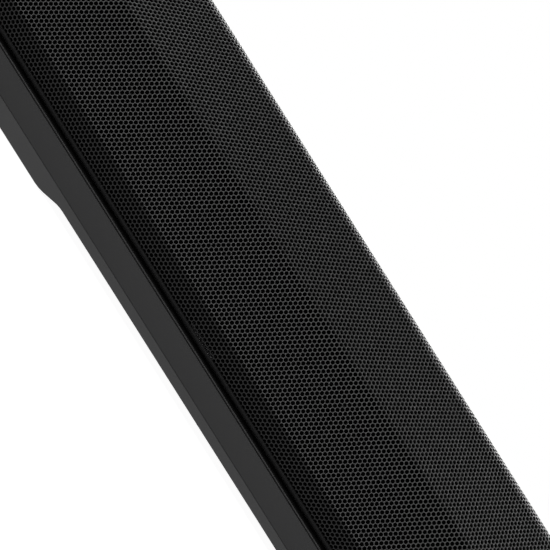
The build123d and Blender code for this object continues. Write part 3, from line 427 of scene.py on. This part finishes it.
def bump(tree, shader, height, depth):
    """Surface relief of a depth in metres from a height factor."""
    node = tree.nodes.new("ShaderNodeBump")
    node.inputs["Distance"].default_value = depth
    tree.links.new(height, node.inputs["Height"])
    tree.links.new(node.outputs["Normal"], shader.inputs["Normal"])


def grey_ramp(tree, factor, stops):
    """A grey level by a factor, through (position, level) stops."""
    ramp = tree.nodes.new("ShaderNodeValToRGB")
    while len(ramp.color_ramp.elements) < len(stops):
        ramp.color_ramp.elements.new(0.5)
    for element, (position, level) in zip(ramp.color_ramp.elements, stops):
        element.position = position
        element.color = (level, level, level, 1)
    tree.links.new(factor, ramp.inputs["Fac"])
    return ramp.outputs["Color"]


def darken_by_height(tree, shader, place, stops):
    """Paint shade by height: multiply the linked base colour by a level that runs through (height, level)
    stops.
    """
    height = tree.nodes.new("ShaderNodeSeparateXYZ")
    tree.links.new(place, height.inputs["Vector"])
    low, high = stops[0][0], stops[-1][0]
    lift = remap(tree, height.outputs["Z"], (low, high))
    levels = grey_ramp(tree, lift, [((z - low) / (high - low), level) for z, level in stops])
    darken = tree.nodes.new("ShaderNodeMix")
    darken.data_type, darken.blend_type = "RGBA", "MULTIPLY"
    darken.inputs["Factor"].default_value = 1.0
    tree.links.new(shader.inputs["Base Color"].links[0].from_socket, darken.inputs["A"])
    tree.links.new(levels, darken.inputs["B"])
    tree.links.new(darken.outputs["Result"], shader.inputs["Base Color"])


def moulded(name, colour, roughness, grain=0.35 * MM, depth=0.006 * MM, specular=0.5, shade=None):
    """Moulded plastic with a fine spark-eroded grain and faint uneven sheen, with shade painted in by height
    if asked.
    """
    made, tree, shader, place = material(name, colour, roughness, specular=specular)
    dull, pale = ([c * (1 + swing) for c in colour] for swing in (-SHEEN_SWING, SHEEN_SWING))
    tint(tree, shader, noise(tree, place, SHEEN_SIZE, 3.0), dull, pale)
    if shade:
        darken_by_height(tree, shader, place, shade)
    fine = noise(tree, place, grain, 3.0, 0.6)
    gloss = spread(tree, fine, roughness - ROUGHNESS_SWING, roughness + ROUGHNESS_SWING)
    tree.links.new(gloss, shader.inputs["Roughness"])
    bump(tree, shader, fine, depth)
    return made


def powder_coat(name, colour, roughness, specular):
    """Satin powder coat with a slight orange peel."""
    made, tree, shader, place = material(name, colour, roughness, specular=specular)
    bump(tree, shader, noise(tree, place, PEEL_SIZE), PEEL_DEPTH)
    return made


def woven(name, colour, thread):
    """Plain-weave cloth, thread metres apart."""
    made, tree, shader, place = material(name, colour, 0.95, specular=0.0)
    waves = []
    for axis in ("X", "Z"):
        wave = tree.nodes.new("ShaderNodeTexWave")
        wave.bands_direction = axis
        wave.inputs["Scale"].default_value = pi / thread / WAVE_RADIANS  # one wave over two threads
        wave.inputs["Distortion"].default_value = 0.4
        tree.links.new(place, wave.inputs["Vector"])
        waves.append(wave.outputs["Fac"])
    both = tree.nodes.new("ShaderNodeMath")
    both.operation = "MULTIPLY"
    tree.links.new(waves[0], both.inputs[0])
    tree.links.new(waves[1], both.inputs[1])
    tint(tree, shader, both.outputs["Value"], [c * 0.6 for c in colour], [c * 1.3 for c in colour])
    bump(tree, shader, both.outputs["Value"], WEAVE_DEPTH)
    return made


def metal(name, colour, roughness):
    """Plated or brushed metal with fine streaks."""
    made, tree, shader, place = material(name, colour, roughness, metallic=1.0)
    streaks = noise(tree, place, STREAK_SIZE, 4.0, 0.6, STREAK_STRETCH)
    tint(tree, shader, streaks, [c * 0.85 for c in colour], colour)
    tree.links.new(spread(tree, streaks, roughness - 0.06, roughness + 0.1), shader.inputs["Roughness"])
    bump(tree, shader, streaks, STREAK_DEPTH)
    return made


def speckled(name, dark, light, size, roughness):
    """Ferrite, laminations or circuit board: two tones at one grain size."""
    made, tree, shader, place = material(name, light, roughness)
    grains = noise(tree, place, size, 4.0, 0.7)
    tint(tree, shader, spread(tree, grains, 0.0, 1.0), dark, light)
    bump(tree, shader, grains, GRAIN_DEPTH)
    return made


# Painted shade on the band by height: a little duller low down, and dark on the lip above its groove.
BAND_PAINTED_SHADE = [(5.0 * MM, 0.88), (9.5 * MM, 1.0), (12.60 * MM, 1.0), (12.68 * MM, 0.35), (13.2 * MM, 0.35)]

# One finish for each material slot of the record.
FINISHES = {
    "grille_metal": powder_coat("grille_powder_coat", (0.015, 0.015, 0.0153), 0.42, 0.6),
    # the band's colour carries painted shade by height, darker low down and on the lip
    "band_plastic": moulded("band_plastic", (0.0185, 0.0185, 0.019), 0.46, specular=0.42, shade=BAND_PAINTED_SHADE),
    "base_plastic": moulded("base_plastic", (0.037, 0.037, 0.0377), 0.52, specular=0.45),
    "cover_plastic": moulded(
        "cover_plastic", (0.011, 0.011, 0.0115), 0.5, grain=0.5 * MM, depth=0.01 * MM, specular=0.25
    ),
    # inner_plastic is near black, darker than the other black plastics: painted shade on the inner parts seen
    # through the gap under the grille
    "inner_plastic": moulded("inner_plastic", (0.003, 0.003, 0.003), 0.7, specular=0.1),
    "button_plastic": moulded(
        "button_plastic", (0.008, 0.008, 0.0085), 0.36, grain=0.3 * MM, depth=0.002 * MM, specular=0.2
    ),
    "pad_rubber": moulded("pad_rubber", (0.02, 0.02, 0.02), 0.85, grain=0.8 * MM, depth=0.03 * MM),
    "scrim_cloth": woven("scrim_cloth", (0.0015, 0.0015, 0.0015), 0.45 * MM),
    "cone_paper": speckled("cone_paper", (0.02, 0.02, 0.02), (0.05, 0.05, 0.052), 0.6 * MM, 0.75),
    "steel": metal("zinc_steel", (0.30, 0.30, 0.31), 0.38),
    "magnet_iron": speckled("ferrite", (0.03, 0.03, 0.032), (0.08, 0.08, 0.085), 0.7 * MM, 0.6),
    "board_green": speckled("solder_mask", (0.01, 0.07, 0.03), (0.02, 0.12, 0.05), 1.5 * MM, 0.4),
    "chip_black": speckled("chip_epoxy", (0.012, 0.012, 0.012), (0.03, 0.03, 0.03), 0.3 * MM, 0.5),
    "alloy": metal("plain_alloy", (0.6, 0.6, 0.62), 0.4),
    "core": speckled("laminated_core", (0.08, 0.07, 0.05), (0.2, 0.17, 0.12), 0.9 * MM, 0.5),
    "brass": metal("turned_brass", (0.7, 0.52, 0.22), 0.3),
    "lead_jacket": moulded("lead_jacket", (0.015, 0.015, 0.015), 0.5),
}

# Painted light: a lighter copy of the grille's powder coat on the plain fold under the field and the bottom
# hem, for light from below
grille_fold_painted_light = powder_coat("grille_fold_painted_light", (0.036, 0.036, 0.0366), 0.42, 0.6)
# Painted shade: the holes' walls are near black, darker than the paint, for the shade inside the holes
painted_shade_wall = material("grille_hole_wall_painted_shade", (0.004, 0.004, 0.004), 0.6, specular=0.15)[0]

for row in frame["record"]["subparts"]:
    materials = frame["nodes"][row["node"]].data.materials
    materials.clear()
    materials.append(FINISHES[row["material_slot"]])
for piece in grille_pieces[:PANELS]:
    for finish in (FINISHES["grille_metal"], painted_shade_wall, grille_fold_painted_light):  # in the order PAINT, WALL, FOLD
        piece.data.materials.append(finish)
scrim.data.materials.append(FINISHES["scrim_cloth"])
bottom_hem, rear_hem = grille_pieces[PANELS:]
bottom_hem.data.materials.append(grille_fold_painted_light)
rear_hem.data.materials.append(FINISHES["grille_metal"])

# ---------------------------------------------------------------- stage, light and camera


FLOOR_HALF = 6.0
FLOOR_GLOW = 0.95


def floor():
    """A pale table under the bar, lit from within so that it stays white."""
    corners = [(x * FLOOR_HALF, y * FLOOR_HALF, 0) for x, y in ((-1, -1), (1, -1), (1, 1), (-1, 1))]
    plane = make_object("stage_floor", corners, [(0, 1, 2, 3)], smooth=False)
    made, _, shader, _ = material("stage_pale", (0.3, 0.3, 0.3), 0.9, specular=0.0)
    shader.inputs["Emission Color"].default_value = (1, 1, 1, 1)
    shader.inputs["Emission Strength"].default_value = FLOOR_GLOW
    plane.data.materials.append(made)
    plane.visible_glossy = False
    plane.visible_diffuse = False


# Brightness of the studio round the bar by elevation, from straight down to straight up, in front and behind.
STUDIO_STRENGTH = 7.8
FRONT_LIGHT = [(-90, 0.047), (-10, 0.047), (20, 0.047), (45, 0.047), (70, 0.022), (90, 0.015)]
REAR_LIGHT = [(-90, 0.02), (-10, 0.2), (5, 1.0), (50, 1.0), (57, 0.08), (90, 0.015)]
SIDE_BLEND = (-0.2, 0.2)  # the y of a direction over which the front's light turns into the rear's


def elevation_ramp(tree, height, stops):
    """A grey level by elevation in degrees, from the z of a direction that is lifted to 0..1."""
    return grey_ramp(tree, height, [((sin(radians(elevation)) + 1) / 2, level) for elevation, level in stops])


def world():
    """White behind the bar to the camera; for its light, a soft studio that differs in front and behind."""
    made = bpy.data.worlds.new("studio")
    bpy.context.scene.world = made
    made.use_nodes = True
    tree = made.node_tree
    tree.nodes.clear()
    place = tree.nodes.new("ShaderNodeTexCoord").outputs["Generated"]
    split = tree.nodes.new("ShaderNodeSeparateXYZ")
    tree.links.new(place, split.inputs["Vector"])
    lift = remap(tree, split.outputs["Z"], (-1.0, 1.0))
    both = tree.nodes.new("ShaderNodeMix")
    both.data_type = "RGBA"
    tree.links.new(remap(tree, split.outputs["Y"], SIDE_BLEND), both.inputs["Factor"])
    tree.links.new(elevation_ramp(tree, lift, FRONT_LIGHT), both.inputs["A"])
    tree.links.new(elevation_ramp(tree, lift, REAR_LIGHT), both.inputs["B"])
    seen = tree.nodes.new("ShaderNodeBackground")
    seen.inputs["Color"].default_value = (1, 1, 1, 1)
    light = tree.nodes.new("ShaderNodeBackground")
    tree.links.new(both.outputs["Result"], light.inputs["Color"])
    light.inputs["Strength"].default_value = STUDIO_STRENGTH
    path = tree.nodes.new("ShaderNodeLightPath")
    pick = tree.nodes.new("ShaderNodeMixShader")
    tree.links.new(path.outputs["Is Camera Ray"], pick.inputs["Fac"])
    tree.links.new(light.outputs["Background"], pick.inputs[1])
    tree.links.new(seen.outputs["Background"], pick.inputs[2])
    out = tree.nodes.new("ShaderNodeOutputWorld")
    tree.links.new(pick.outputs["Shader"], out.inputs["Surface"])


KEY_PLACE, KEY_TARGET = (-0.33, -0.85, 0.46), (-0.33, -0.05, 0.04)
KEY_SIZE = (1.6, 0.3)
KEY_POWER = 6.2


def softbox(name, place, target, size, power):
    """A rectangular area light at place that faces target, with its long side level."""
    data = bpy.data.lights.new(name, "AREA")
    data.shape = "RECTANGLE"
    data.size, data.size_y = size
    data.energy = power
    lamp = bpy.data.objects.new(name, data)
    bpy.context.scene.collection.objects.link(lamp)
    back = np.array(place, float) - np.array(target, float)
    back /= np.linalg.norm(back)
    right = np.cross((0, 0, 1), back)
    right /= np.linalg.norm(right)
    columns = np.stack([right, np.cross(back, right), back, place], -1)
    lamp.matrix_world = Matrix([*columns.tolist(), (0, 0, 0, 1)])


CAMERA_DISTANCE = 381 * MM
CAMERA_RISE = 21.15 * MM  # above the grille's lower crease
CAMERA_ROLL = radians(57.73)
CAMERA_X = -330 * MM
CAMERA_LENS = 89.67  # mm on a sensor 36 mm wide


def camera():
    """A level view straight at the front, close up, with the camera rolled about its own axis."""
    data = bpy.data.cameras.new("camera")
    data.sensor_width = 36.0
    data.lens = CAMERA_LENS
    data.clip_start = 0.01
    eye = bpy.data.objects.new("camera", data)
    bpy.context.scene.collection.objects.link(eye)
    level = Matrix(((1, 0, 0, 0), (0, 0, -1, 0), (0, 1, 0, 0), (0, 0, 0, 1)))
    place = Matrix.Translation((CAMERA_X, FRONT - CAMERA_DISTANCE, LOW_CREASE[1] + CAMERA_RISE))
    eye.matrix_world = place @ level @ Matrix.Rotation(CAMERA_ROLL, 4, "Z")
    bpy.context.scene.camera = eye


floor()
world()
softbox("front_key", KEY_PLACE, KEY_TARGET, KEY_SIZE, KEY_POWER)
camera()
bpy.context.scene.view_settings.view_transform = "Standard"
